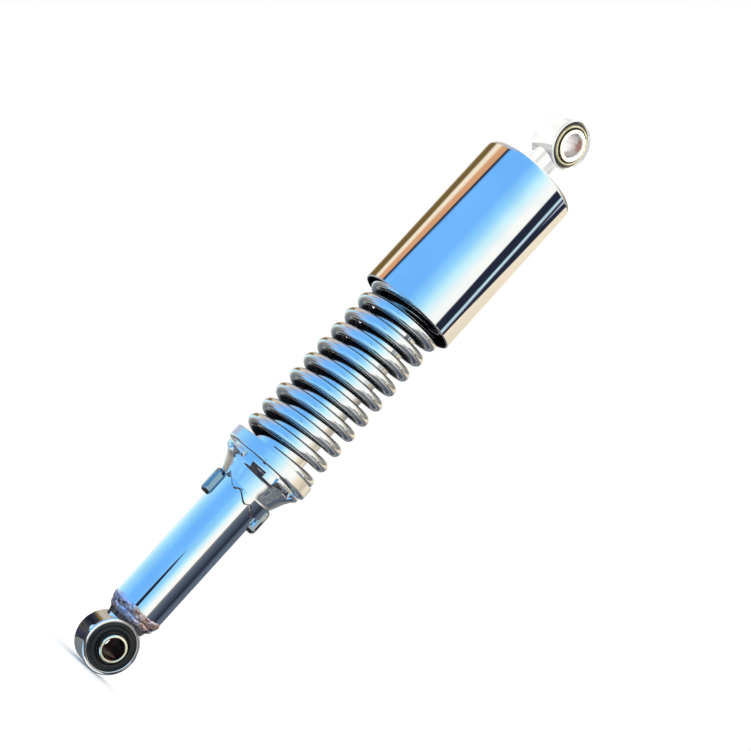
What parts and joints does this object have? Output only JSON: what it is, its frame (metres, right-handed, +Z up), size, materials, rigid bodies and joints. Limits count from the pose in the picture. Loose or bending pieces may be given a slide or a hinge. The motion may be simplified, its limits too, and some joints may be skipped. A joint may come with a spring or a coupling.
{
  "type": "rear shock absorber",
  "caption": "Coil-over twin rear shock for a small motorcycle: chrome top cover, coil spring, stepped preload adjuster, plain damper tube and a rubber-bushed eye at each end.",
  "frame": {"origin": "centre of the upper eye's bore", "axes": "+Z up along the damper from the lower eye to the upper eye, +Y along the upper eye's bore, +X across"},
  "size_m": [0.0522, 0.0522, 0.3574],
  "materials": {
    "cover_chrome": "bright chrome plating",
    "body_chrome": "bright chrome plating",
    "spring_chrome": "chrome-plated spring wire",
    "rod_chrome": "hard chrome, ground",
    "yellow_zinc": "steel, yellow-passivated zinc plating",
    "bush_rubber": "matt black moulded rubber",
    "plain_steel": "oiled machined steel",
    "sintered_iron": "sintered iron, machined",
    "guide_bronze": "sintered bronze",
    "ring_plastic": "filled PTFE",
    "weld_metal": "rough weld, plated over, tan to brown"
  },
  "bodies": {
    "upper_sleeve": {"upper_bush_sleeve": "yellow_zinc"},
    "upper_body": {"upper_eye": "body_chrome", "upper_bush_rubber": "bush_rubber", "upper_cover": "cover_chrome", "upper_spring_seat": "plain_steel", "upper_seat_rubber": "bush_rubber", "rod_lock_nut": "plain_steel", "bump_stop_washer": "plain_steel", "bump_stop": "bush_rubber", "piston_rod": "rod_chrome", "top_out_spring": "plain_steel", "piston": "sintered_iron", "piston_valve_shims": "plain_steel", "piston_nut": "plain_steel"},
    "ring": {"piston_ring": "ring_plastic"},
    "lower_body": {"lower_tube": "body_chrome", "stop_lugs": "body_chrome", "pressure_tube": "plain_steel", "foot_valve": "sintered_iron", "rod_guide": "guide_bronze", "rod_oil_seal": "bush_rubber", "body_cap": "plain_steel", "dust_wiper": "bush_rubber", "bottom_cap": "body_chrome", "lower_weld_bead": "weld_metal", "lower_eye": "body_chrome", "lower_bush_rubber": "bush_rubber"},
    "spring_seat": {"lower_spring_seat": "body_chrome", "main_spring": "spring_chrome"},
    "adjuster": {"preload_adjuster": "body_chrome"},
    "lower_sleeve": {"lower_bush_sleeve": "yellow_zinc"}
  },
  "joints": [
    {"name": "upper_bush_twist", "type": "hinge", "parent": "upper_sleeve", "child": "upper_body", "pos_m": [0, 0, 0], "axis": [0, 1, 0], "range_deg": [-12, 12], "stiffness_Nm_per_rad": 40},
    {"name": "rod_swivel", "type": "hinge", "parent": "upper_body", "child": "ring", "pos_m": [0, 0, -0.165], "axis": [0, 0, 1], "continuous": true},
    {"name": "stroke", "type": "slide", "parent": "ring", "child": "lower_body", "axis": [0, 0, 1], "range_m": [0, 0.05], "stiffness_N_per_m": 18000, "springref_m": -0.006, "deforming": ["main_spring"]},
    {"name": "preload_lift", "type": "slide", "parent": "lower_body", "child": "spring_seat", "axis": [0, 0, 1], "range_m": [0, 0.0096]},
    {"name": "adjuster_turn", "type": "hinge", "parent": "spring_seat", "child": "adjuster", "pos_m": [0, 0, -0.225], "axis": [0, 0, -1], "range_deg": [0, 144]},
    {"name": "lower_bush_twist", "type": "hinge", "parent": "lower_body", "child": "lower_sleeve", "pos_m": [0, 0, -0.33], "axis": [0.2807, 0.9598, 0], "range_deg": [-12, 12], "stiffness_Nm_per_rad": 25}
  ],
  "couplings": [
    {"joint": "adjuster_turn", "follows": "preload_lift", "rad_per_m": 261.8}
  ]
}
